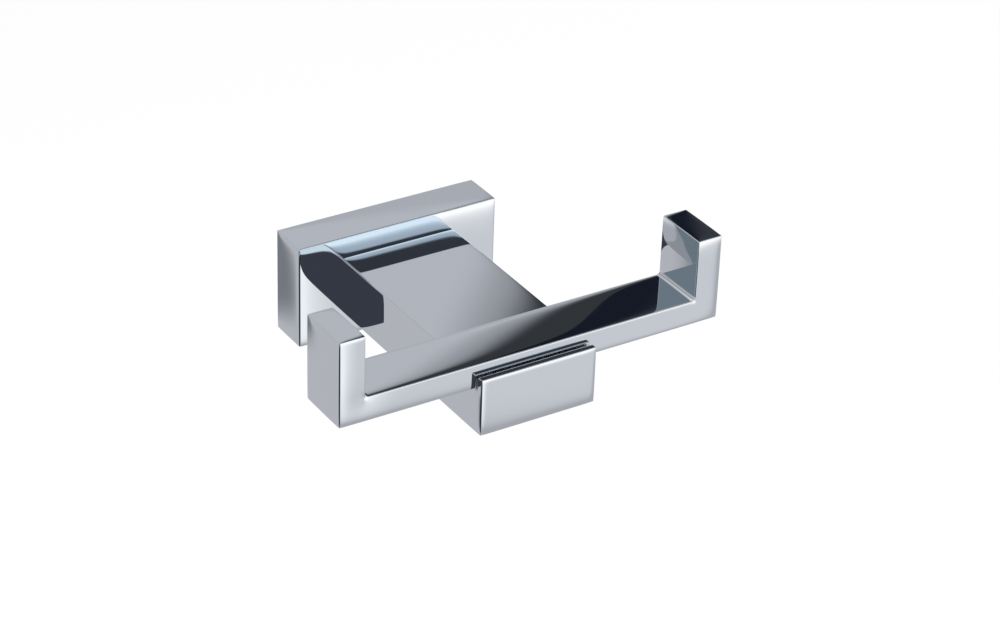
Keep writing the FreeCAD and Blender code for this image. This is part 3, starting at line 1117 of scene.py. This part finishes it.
@dataclass(frozen=True)
class SteelFinish:
    """Steel with a grain and a mottle, zinc plated or plain stainless.

    Attributes:
        name: The material's name.
        light: The mottle's light colour.
        dark: The mottle's dark colour.
        stretch: The grain's scale along each axis.
        mottle_scale: The mottle's scale.
        roughest: The roughness on the grain's crests.
        smoothest: The roughness between them.
        depth: How deep the grain is, in metres.
    """

    name: str
    light: tuple
    dark: tuple
    stretch: tuple
    mottle_scale: float
    roughest: float
    smoothest: float
    depth: float

    def material(self, effects: Effects) -> bpy.types.Material:
        """Return the finish's material.

        Args:
            effects: The shared node groups.

        Returns:
            The material.
        """
        material, build, shader = new_metal(self.name, self.light)
        where = build.add("ShaderNodeTexCoord").outputs["Object"]
        steel = build.add(
            "ShaderNodeGroup",
            {"node_tree": effects.grain},
            Coordinates=where,
            Stretch=self.stretch,
            Mottle_Scale=self.mottle_scale,
            Light=self.light,
            Dark=self.dark,
        )
        marks = build.add(
            "ShaderNodeGroup",
            {"node_tree": effects.handling},
            Coordinates=where,
            Wave_Scale=600.0,
            Scratch_Scale=1800.0,
        )
        build.feed(shader.inputs["Base Color"], steel.outputs["Colour"])
        rough = build.spread(steel.outputs["Grain"], self.smoothest, self.roughest)
        rough = build.math("MULTIPLY_ADD", marks.outputs["Smudge"], 0.12, rough)
        build.feed(shader.inputs["Roughness"], rough)
        fine = build.add("ShaderNodeBump", Height=steel.outputs["Grain"], Distance=self.depth)
        bump = build.add(
            "ShaderNodeBump",
            Height=marks.outputs["Height"],
            Distance=self.depth,
            Normal=fine.outputs["Normal"],
        )
        build.feed(shader.inputs["Normal"], bump.outputs["Normal"])
        return material


FINISHES = {
    Slot.CHROME: ChromeFinish(),
    Slot.ZINC: SteelFinish(
        name="bright_zinc_plate",
        light=(0.66, 0.68, 0.70, 1),
        dark=(0.52, 0.55, 0.58, 1),
        stretch=(90.0, 90.0, 2400.0),
        mottle_scale=420.0,
        roughest=0.36,
        smoothest=0.20,
        depth=4.0e-6,
    ),
    Slot.STAINLESS: SteelFinish(
        name="turned_stainless_steel",
        light=(0.60, 0.60, 0.61, 1),
        dark=(0.50, 0.50, 0.51, 1),
        stretch=(5200.0, 5200.0, 900.0),
        mottle_scale=1500.0,
        roughest=0.30,
        smoothest=0.14,
        depth=1.5e-6,
    ),
}
SEAT_FINISH = ChromeFinish("satin_chrome_seat", smooth=0.86, smudged=0.94)


@dataclass(frozen=True)
class Coats:
    """The finished materials.

    Attributes:
        by_slot: One for each of the record's slots.
        seat: The dull chrome of the neck's seat.
    """

    by_slot: dict
    seat: bpy.types.Material


# ---------------------------------------------------------------- sub-assemblies

# Where the screws stand and where the backplate's front wall lies, in mm.
ARM_SCREW_X, ARM_SCREW_Y, ARM_HEAD_Z = (-8.0, 8.0), -65.55, -5.6
NECK_SCREW_X, NECK_SCREW_Z, NECK_HEAD_Y = (-8.5, 8.5), 0.5, -4.0
GRUB_Y, GRUB_FOOT_Z = -4.2, -13.4
PLATE_FRONT_Y, PLATE_FLOOR_Y = -11.2, -8.7


class SubAssembly:
    """What the pieces share.

    Attributes:
        node: The node that the piece replaces.
        slot: Its material slot.
    """

    node: str
    slot: Slot

    def build(self) -> bpy.types.Object:
        """Build the piece's object."""
        raise NotImplementedError

    def coat(self, piece: bpy.types.Object, coats: Coats) -> None:
        """Give the piece its slot's material."""
        piece.data.materials.clear()
        piece.data.materials.append(coats.by_slot[self.slot])

    def dress(self, piece: bpy.types.Object, coats: Coats) -> None:
        """Finish the piece and set it in the frame, where it replaces its node.

        Args:
            piece: The piece.
            coats: The materials.
        """
        self.coat(piece, coats)
        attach(piece, "root")
        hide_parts(self.node)


@dataclass(frozen=True)
class HookBar(SubAssembly):
    """The flat bar with both ends turned up square. Sizes are in mm."""

    half_span: float = 51.15
    inner_half: float = 44.35
    bottom: float = 4.6
    bar_top: float = 11.0
    upright_top: float = 26.8
    front: float = -73.05
    width: float = 15.0
    edge_radius: float = 0.3
    bend_radius: float = 0.9
    border: float = 2.8
    tap_radius: float = 2.05
    tap_depth: float = 4.4
    roll: RollOff = RollOff(0.04, 0.7, 0.06, 5.0)
    node = "hook_arm"
    slot = Slot.CHROME

    def build(self) -> bpy.types.Object:
        """Build the bar from its side outline, drawn out along Y.

        Returns:
            The bar's object.
        """
        far, near, edge = self.half_span, self.inner_half, self.edge_radius
        low, mid, high, bend = self.bottom, self.bar_top, self.upright_top, self.bend_radius
        corners = [
            Corner(-far, low, edge),
            Corner(far, low, edge),
            Corner(far, high, edge),
            Corner(near, high, edge, face=0.3),
            Corner(near, mid, bend, face=0.7),
            Corner(-near, mid, bend),
            Corner(-near, high, edge),
            Corner(-far, high, edge),
        ]
        outline = Outline(corners, self.roll)
        profile = bar_profile(self.width, edge, self.border)
        bar = make_buffed("hook_bar", Buffed(outline, profile, Axis.Y, self.front, self.width))
        starts = [upright_stance(x, ARM_SCREW_Y, low) for x in ARM_SCREW_X]
        carve(bar, [blind_hole(start, self.tap_radius, self.tap_depth) for start in starts])
        return bar


@dataclass(frozen=True)
class NeckBlock(SubAssembly):
    """The flat block with the seat and the lip.

    Sizes are in mm, and holes are steps of a radius and a distance along.
    """

    half_width: float = 15.6
    front: float = -75.4
    back: float = -10.8
    bottom: float = -7.0
    top: float = 8.0
    seat_front: float = -73.5
    seat_back: float = -58.05
    seat_floor: float = 4.6
    edge_radius: float = 0.3
    seat_radius: float = 0.2
    lip_radius: float = 0.4
    border: float = 0.85
    counterbore: tuple = ((3.75, -0.6), (3.75, 5.4), (2.25, 5.4), (2.25, 12.2))
    tap_radius: float = 2.55
    tap_depth: float = 8.9
    tap_overrun: float = 1.2
    roll: RollOff = RollOff(0.06, 1.0, 0.045, 4.0)
    node = "neck_block"
    slot = Slot.CHROME

    def build(self) -> bpy.types.Object:
        """Build the block from its side outline, drawn out along X.

        Returns:
            The block's object.
        """
        edge, seat = self.edge_radius, self.seat_radius
        corners = [
            Corner(self.front, self.bottom, edge, 1.0, 1.0, 0.3),
            Corner(self.back, self.bottom, edge, 0.0, 0.0, 0.0),
            Corner(self.back, self.top, edge, 0.4, 0.3, 0.3),
            Corner(self.seat_back, self.top, edge, 0.0, 0.3, 0.0),
            Corner(self.seat_back, self.seat_floor, seat, 1.0, 0.3, 0.0),
            Corner(self.seat_front, self.seat_floor, seat, 1.0, 0.3, 0.0),
            Corner(self.seat_front, self.top, self.lip_radius, 1.0, 1.0, 0.3),
            Corner(self.front, self.top, edge),
        ]
        length = 2 * self.half_width
        profile = bar_profile(length, edge, self.border)
        solid = Buffed(Outline(corners, self.roll), profile, Axis.X, -self.half_width, length)
        neck = make_buffed("neck_casting", solid)
        feet = [upright_stance(x, ARM_SCREW_Y, self.bottom) for x in ARM_SCREW_X]
        backs = [outward_stance(x, PLATE_FRONT_Y, NECK_SCREW_Z) for x in NECK_SCREW_X]
        tap = (self.tap_radius, self.tap_depth, self.tap_overrun)
        drills = [Drill(foot, self.counterbore) for foot in feet]
        carve(neck, drills + [blind_hole(back, *tap) for back in backs])
        return neck

    def coat(self, piece: bpy.types.Object, coats: Coats) -> None:
        """Coat the block, and dull its seat, which no buffing wheel reaches.

        Args:
            piece: The block's object.
            coats: The materials.
        """
        super().coat(piece, coats)
        piece.data.materials.append(coats.seat)
        middle = np.zeros(3 * len(piece.data.polygons))
        piece.data.polygons.foreach_get("center", middle)
        y, z = middle.reshape(-1, 3)[:, 1:].T / MM
        beside, below = 0.05, 0.2
        within = (y > self.seat_front - beside) & (y < self.seat_back + beside)
        under = (z > self.seat_floor - below) & (z < self.top - 0.5 * self.lip_radius)
        piece.data.polygons.foreach_set("material_index", (within & under).astype(np.int32))


@dataclass(frozen=True)
class Backplate(SubAssembly):
    """The hollow rectangular box against the wall.

    Sizes are in mm, and holes are steps of a radius and a distance along.
    """

    half_width: float = 27.5
    half_height: float = 13.6
    depth: float = 11.2
    wall: float = 2.0
    front_wall: float = 2.5
    edge_radius: float = 0.3
    border: float = 6.0
    boss: tuple = ((3.25, 1.2), (3.25, 3.75), (3.1, 3.9))
    grub_hole: tuple = ((2.05, -0.6), (2.05, 4.6))
    clearance: tuple = ((2.75, -0.6), (2.75, 3.1))
    roll: RollOff = RollOff(0.04, 0.7, 0.045, 4.0)
    node = "backplate"
    slot = Slot.CHROME

    def build(self) -> bpy.types.Object:
        """Build the box from its front outline, drawn out along Y.

        The boss for the grub screw is joined on, and the holes are cut.

        Returns:
            The box's object.
        """
        w, h, edge = self.half_width, self.half_height, self.edge_radius
        places = ((-w, -h), (w, -h), (w, h), (-w, h))
        corners = [Corner(x, z, edge, across=0.4) for x, z in places]
        outline = Outline(corners, self.roll)
        profile = box_profile(self.depth, edge, self.border, self.wall, self.front_wall)
        solid = Buffed(outline, profile, Axis.Y, -self.depth, self.depth)
        plate = make_buffed("backplate_shell", solid, hollow=True)
        foot = upright_stance(0.0, GRUB_Y, -h)
        carve(plate, [Drill(foot, self.boss)], keep=True)
        floors = [outward_stance(x, PLATE_FLOOR_Y, NECK_SCREW_Z) for x in NECK_SCREW_X]
        holes = [Drill(floor, self.clearance) for floor in floors]
        carve(plate, [Drill(foot, self.grub_hole), *holes])
        return plate


@dataclass(frozen=True)
class ScrewSet(SubAssembly):
    """The equal screws of one node.

    Attributes:
        name: The piece's name.
        node: The node that it replaces.
        screw: The screw.
        stances: Where each stands.
    """

    name: str
    node: str
    screw: Screw
    stances: tuple
    slot = Slot.STAINLESS

    def build(self) -> bpy.types.Object:
        """Build all of them as one object.

        Returns:
            The screws' object.
        """
        parts = [
            (stance.place(points), quads)
            for stance in self.stances
            for points, quads in self.screw.parts()
        ]
        return make_from_parts(self.name, parts)


@dataclass(frozen=True)
class StampedSteel:
    """The wall bracket and the lock washers, whose nodes stay under a new finish."""

    nodes: tuple = ("wall_bracket", "neck_lock_washers")
    slot: Slot = Slot.ZINC

    def dress(self, coats: Coats) -> None:
        """Give the nodes their slot's material.

        Args:
            coats: The materials.
        """
        for node in self.nodes:
            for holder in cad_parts[node].material_slots:
                holder.material = coats.by_slot[self.slot]


PIECES = (
    HookBar(),
    NeckBlock(),
    Backplate(),
    ScrewSet(
        "neck_cap_screws",
        "neck_screws",
        Screw(2.5, 0.8, 12.0, 3.0, 2.0, head_radius=4.25, head_height=3.5),
        tuple(outward_stance(x, NECK_HEAD_Y, NECK_SCREW_Z) for x in NECK_SCREW_X),
    ),
    ScrewSet(
        "arm_cap_screws",
        "arm_screws",
        Screw(2.0, 0.7, 10.0, 3.0, 2.0, head_radius=3.5, head_height=4.0),
        tuple(upright_stance(x, ARM_SCREW_Y, ARM_HEAD_Z) for x in ARM_SCREW_X),
    ),
    ScrewSet(
        "set_screw",
        "grub_screw",
        Screw(2.0, 0.7, 4.0, 2.0, 1.8),
        (upright_stance(0.0, GRUB_Y, GRUB_FOOT_Z),),
    ),
)


# ---------------------------------------------------------------- studio

REFLECTANCE = 0.80


@dataclass(frozen=True)
class Card:
    """A studio card that only the polished metal sees.

    Attributes:
        azimuth: The middle's bearing from +Y towards +X, in degrees.
        elevation: Its height above the horizon, in degrees.
        width: Its full width, in degrees.
        height: Its full height, in degrees.
        colour: The colour that it has in the chrome.
        soft: The width of its soft border, in degrees.
        tilt: How far it is turned anticlockwise, in degrees.
        bounces: After how many reflections it has that colour.
    """

    azimuth: float
    elevation: float
    width: float
    height: float
    colour: str
    soft: float
    tilt: float = 0.0
    bounces: int = 1

    def sides(self) -> tuple[Vector, Vector, Vector]:
        """Return the directions that place the card.

        Returns:
            Its middle, and the ways along its width and its height, each over
            the tangent of the half angle.
        """
        az, el, tilt = (math.radians(a) for a in (self.azimuth, self.elevation, self.tilt))
        middle = Vector((math.sin(az) * math.cos(el), math.cos(az) * math.cos(el), math.sin(el)))
        level = Vector((math.cos(az), -math.sin(az), 0))
        upward = level.cross(middle)
        side = level * math.cos(tilt) + upward * math.sin(tilt)
        up = upward * math.cos(tilt) - level * math.sin(tilt)
        half_width = math.tan(math.radians(self.width / 2))
        half_height = math.tan(math.radians(self.height / 2))
        return middle, side / half_width, up / half_height

    def light(self) -> tuple[float, float, float, float]:
        """Return its colour, raised by what the chrome keeps at each reflection."""
        gain = REFLECTANCE**-self.bounces
        return (*(part * gain for part in shade(self.colour)[:3]), 1.0)


CARDS = (
    # The light table below and the light ceiling above.
    Card(0, -88, 150, 150, "B4B6BC", 20.0),
    Card(0, 88, 120, 120, "B4B7BD", 30.0),
    # The room round them: pale strips and grey flags in turn.
    Card(0, -14, 34, 26, "D9DCE2", 16.0),
    Card(58, -16, 24, 34, "92969D", 16.0),
    Card(88, -12, 24, 30, "C9CCD3", 10.0),
    Card(-62, -16, 24, 30, "D3D6DC", 10.0),
    Card(-126, -14, 30, 26, "9DA1A8", 16.0),
    Card(180, -14, 26, 30, "DDE0E5", 12.0),
    Card(0, -62, 90, 34, "9B9EA5", 24.0),
    Card(180, 20, 34, 26, "C4C8CF", 14.0),
    Card(124, 12, 20, 26, "868A92", 16.0),
    Card(90, 14, 30, 40, "D5D9DF", 14.0),
    Card(-78, 14, 18, 30, "8A8E96", 12.0),
    Card(-106, 14, 24, 40, "CDD1D8", 10.0),
    Card(-126, 16, 18, 30, "7A7E86", 16.0),
    Card(0, 60, 60, 26, "E2E5E9", 16.0),
    Card(180, 62, 70, 24, "7C8087", 16.0),
    Card(0, -9.5, 80, 2.5, "7E828A", 4.0),
    Card(90, -9.5, 80, 2.5, "7E828A", 4.0),
    Card(0, -20.5, 80, 3, "868A92", 5.0),
    Card(-90, -9.5, 80, 2.5, "7E828A", 4.0),
    # Tops: a light overhead sheet, its soft end, a charcoal flag and a navy one.
    Card(25, 31, 44, 40, "B0B3BA", 8.0),
    Card(30, 24, 30, 9, "A6A9B0", 0.8),
    Card(46.9, 35, 26, 40, "8A8D93", 1.8, 18),
    Card(48.0, 35, 26, 40, "313437", 1.2, 18),
    Card(47.6, 36, 22, 42, "161A25", 0.12, 4),
    Card(52, 32, 25, 60, "34373F", 2.2),
    Card(71, 32, 24, 60, "C3C7CE", 14.0),
    # Fronts: the pale sweep in front, bright above and to the left.
    Card(148, -30, 44, 26, "C4C7CD", 10.0),
    Card(166.9, -31, 26, 20, "ECEFF4", 3.6),
    Card(128.5, -30, 22, 20, "A6A9AF", 3.0),
    Card(148, -44, 60, 22, "A2A4AA", 4.5),
    Card(148, -11, 60, 31, "FFFFFF", 5.0),
    Card(160, -16.5, 31, 23, "FFFFFF", 3.5),
    Card(180, -9.5, 80, 4, "7E828A", 6.0),
    # Left faces.
    Card(-40, -31, 24, 18, "AEB0B6", 1.0),
    Card(-20.4, -25.0, 15, 11.4, "73767C", 1.5),
    # The dark side of the room, left of the camera.
    Card(-62, -30.5, 42, 12, "2A2C31", 4.0),
    Card(-104, -30.5, 44, 12, "2A2C31", 4.0),
    Card(-138, -30.5, 32, 12, "2A2C31", 4.0),
    Card(-178.5, -30.5, 41, 12, "2A2C31", 2.5),
    Card(-146, 12, 18, 36, "30343B", 5.0, 0, 2),
    Card(-148, -32, 16, 16, "353841", 0.3, 0, 2),
    Card(-150, -20.4, 18, 15, "C4D4E0", 0.5, 0, 2),
    # The top corner before the backplate.
    Card(148, 22, 18, 18, "D6E8F4", 2.0, 0, 2),
    Card(146.8, 36.0, 22, 17, "97A7B5", 2.2, 16, 2),
    Card(146.6, 37.3, 22, 17, "2E323A", 0.6, 16, 2),
    # The right-hand hook's inner face.
    Card(38, -29, 18, 16, "888B92", 1.0, 0, 2),
    Card(45, -29, 13.6, 14, "66737A", 0.4, 0, 2),
    Card(-37, 29, 14, 14, "68747D", 1.0, 0, 2),
)


def soft_card_group() -> bpy.types.NodeTree:
    """Return the node group that lays one soft-edged card over a colour.

    The card lies in the plane across its middle direction. The direction's
    parts along the card's two sides, each divided by its part along the
    middle and by the half size, are 1 at the card's edge. The mask falls
    from 1 to 0 across the soft border, and is 0 behind the viewer.

    Returns:
        The group's tree.
    """
    build, given, result = new_group(
        "soft_card",
        (
            ("Direction", VECTOR),
            ("Middle", VECTOR),
            ("Side", VECTOR),
            ("Up", VECTOR),
            ("Side Edge", NUMBER),
            ("Up Edge", NUMBER),
            ("Under", COLOUR),
            ("Card Colour", COLOUR),
        ),
        (("Colour", COLOUR),),
    )
    take = given.outputs
    ahead = build.dot(take["Direction"], take["Middle"])
    facing = build.math("MAXIMUM", ahead, 0.0001)
    mask = build.math("GREATER_THAN", ahead, 0.0)
    for way in ("Side", "Up"):
        along, edge = build.dot(take["Direction"], take[way]), take[f"{way} Edge"]
        ramp = build.add(
            "ShaderNodeMapRange",
            {"interpolation_type": "SMOOTHERSTEP"},
            Value=build.math("ABSOLUTE", build.math("DIVIDE", along, facing)),
            From_Min=build.math("SUBTRACT", 2.0, edge),
            From_Max=edge,
            To_Min=1.0,
            To_Max=0.0,
        )
        mask = build.math("MULTIPLY", mask, ramp.outputs["Result"])
    mix = build.add(
        "ShaderNodeMix", {"data_type": "RGBA"}, Factor=mask, A=take["Under"], B=take["Card Colour"]
    )
    build.feed(result.inputs["Colour"], mix.outputs["Result"])
    return build.tree


def background_rays(build: NodeBuilder) -> bpy.types.NodeSocket:
    """Return a value that is 1 for camera, glossy and transmission rays, and 0 for others.

    Args:
        build: The builder of the material's or the world's own tree.

    Returns:
        The value's socket.
    """
    path = build.add("ShaderNodeLightPath").outputs
    mirrored = build.math("MAXIMUM", path["Is Camera Ray"], path["Is Glossy Ray"])
    return build.math("MAXIMUM", mirrored, path["Is Transmission Ray"])


def blank_material(
    name: str,
) -> tuple[bpy.types.Material, NodeBuilder, bpy.types.NodeSocket]:
    """Start a material that has no shader yet.

    Args:
        name: The material's name.

    Returns:
        The material, a builder for its nodes and its output's Surface input.
    """
    material = bpy.data.materials.new(name)
    material.use_nodes = True
    material.node_tree.nodes.clear()
    build = NodeBuilder(material.node_tree)
    return material, build, build.add("ShaderNodeOutputMaterial").inputs["Surface"]


@dataclass(frozen=True)
class Studio:
    """The floor, the lamps, the card tent and the camera.

    Attributes:
        camera_place: Where the camera stands, in metres.
        camera_forward: The way that it looks.
        camera_roll: How far it is rolled, in degrees.
        lens: Its focal length on a 36 mm sensor, in mm.
        floor_height: The floor's height, in metres.
        floor_half: Half of the floor's side, in metres.
        floor_glow: The strength of the glow that it has where it is seen.
        glow_share: How much of what is seen of it is that glow.
        ambient: The world's level of light where it isn't seen.
        tent_radius: The tent's radius, in metres.
        tent_grey: The tent's colour where it has no card.
        lamps: Each lamp's name, place in metres, power in watts and size in metres.
    """

    camera_place: tuple = (-0.33180, -0.57282, 0.36966)
    camera_forward: tuple = (0.46791, 0.72642, -0.50337)
    camera_roll: float = 2.02
    lens: float = 110.35
    floor_height: float = -0.45
    floor_half: float = 12.0
    floor_glow: float = 1.15
    glow_share: float = 0.6
    ambient: float = 0.55
    tent_radius: float = 8.0
    tent_grey: tuple = (0.55, 0.56, 0.58, 1)
    lamps: tuple = (
        ("key_lamp", (-1.2, -1.6, 2.4), 45.0, 1.6),
        ("fill_lamp", (1.8, -0.9, 1.8), 20.0, 1.8),
    )

    def make_camera(self) -> None:
        """Place the camera where the photograph was taken from."""
        data = bpy.data.cameras.new("camera")
        data.sensor_width = 36.0
        data.lens = self.lens
        forward = Vector(self.camera_forward).normalized()
        side = forward.cross(Vector((0, 0, 1))).normalized()
        up = side.cross(forward)
        roll = math.radians(self.camera_roll)
        right = side * math.cos(roll) + up * math.sin(roll)
        top = right.cross(forward)
        turn = Matrix((right, top, -forward)).transposed().to_4x4()
        camera = bpy.data.objects.new("camera", data)
        camera.matrix_world = Matrix.Translation(Vector(self.camera_place)) @ turn
        bpy.context.scene.collection.objects.link(camera)
        bpy.context.scene.camera = camera

    def make_world(self) -> None:
        """Give the world a plain level of light, and white where it is seen."""
        world = bpy.data.worlds.new("studio")
        world.use_nodes = True
        build = NodeBuilder(world.node_tree)
        sky = world.node_tree.nodes["Background"]
        build.feed(sky.inputs["Color"], (1, 1, 1, 1))
        level = build.spread(background_rays(build), self.ambient, 1.0)
        build.feed(sky.inputs["Strength"], level)
        bpy.context.scene.world = world

    def make_floor(self) -> None:
        """Lay a plain pale floor for the hook's shadow, clear when seen from below."""
        half, height = self.floor_half, self.floor_height
        corners = [(-half, -half), (half, -half), (half, half), (-half, half)]
        mesh = bpy.data.meshes.new("floor")
        mesh.from_pydata([(x, y, height) for x, y in corners], [], [(0, 1, 2, 3)])
        floor = bpy.data.objects.new("floor", mesh)
        bpy.context.scene.collection.objects.link(floor)
        material, build, surface = blank_material("pale_floor")
        matt = build.add("ShaderNodeBsdfDiffuse", Color=(0.9, 0.9, 0.9, 1))
        glow = build.add("ShaderNodeEmission", Strength=self.floor_glow)
        part = build.math("MULTIPLY", background_rays(build), self.glow_share)
        above = build.blend(part, matt.outputs[0], glow.outputs[0])
        clear = build.add("ShaderNodeBsdfTransparent")
        below = build.add("ShaderNodeNewGeometry").outputs["Backfacing"]
        build.feed(surface, build.blend(below, above, clear.outputs[0]))
        mesh.materials.append(material)
        floor.visible_glossy = False

    def make_lamps(self) -> None:
        """Hang the large soft lamps, which the metal doesn't mirror."""
        for name, place, power, size in self.lamps:
            data = bpy.data.lights.new(name, "AREA")
            data.energy = power
            data.size = size
            lamp = bpy.data.objects.new(name, data)
            lamp.location = place
            lamp.rotation_euler = (-Vector(place)).to_track_quat("-Z", "Y").to_euler()
            lamp.visible_glossy = False
            bpy.context.scene.collection.objects.link(lamp)

    def make_tent(self) -> None:
        """Hang the card tent, a sphere round everything that only reflections see.

        A point's height is the radius times the sine of its elevation, and its
        distance from the middle line the radius times the cosine.
        """
        rings, around = 48, 64
        rise = np.linspace(-math.pi / 2, math.pi / 2, rings + 1)[:, None]
        turn = around_angles(around)[None]
        radius = self.tent_radius * np.cos(rise)
        height = self.tent_radius * np.sin(rise) + 0 * turn
        grid = np.stack([radius * np.sin(turn), radius * np.cos(turn), height], axis=-1)
        quads = grid_faces(len(grid), around).tolist()
        tent = make_object("card_tent", grid.reshape(-1, 3), quads)
        tent.data.flip_normals()
        for kind in ("camera", "diffuse", "shadow", "transmission"):
            setattr(tent, f"visible_{kind}", False)
        material, build, surface = blank_material("card_tent")
        where = build.add("ShaderNodeTexCoord").outputs["Object"]
        unit = build.worked("ShaderNodeVectorMath", {"operation": "NORMALIZE"}, where)
        group = soft_card_group()
        colour = self.tent_grey
        for card in CARDS:
            middle, side, up = card.sides()
            laid = build.add(
                "ShaderNodeGroup",
                {"node_tree": group},
                Direction=unit.outputs["Vector"],
                Middle=middle,
                Side=side,
                Up=up,
                Side_Edge=1 + card.soft / card.width,
                Up_Edge=1 + card.soft / card.height,
                Under=colour,
                Card_Colour=card.light(),
            )
            colour = laid.outputs["Colour"]
        glow = build.add("ShaderNodeEmission", Color=colour)
        build.feed(surface, glow.outputs[0])
        tent.data.materials.append(material)

    def build(self) -> None:
        """Make the whole studio."""
        self.make_camera()
        self.make_world()
        self.make_floor()
        self.make_lamps()
        self.make_tent()
        bpy.context.scene.view_settings.view_transform = "Standard"


def main() -> None:
    """Build the studio and the pieces, and report each."""
    logging.basicConfig(level=logging.INFO, format="%(name)s: %(message)s")
    Studio().build()
    effects = Effects(handling_group(), grain_group())
    by_slot = {slot: finish.material(effects) for slot, finish in FINISHES.items()}
    coats = Coats(by_slot, SEAT_FINISH.material(effects))
    built = [(maker, maker.build()) for maker in PIECES]
    for maker, piece in built:
        maker.dress(piece, coats)
        LOG.info("%s: %d faces", piece.name, len(piece.data.polygons))
    StampedSteel().dress(coats)


if __name__ == "__main__":
    main()
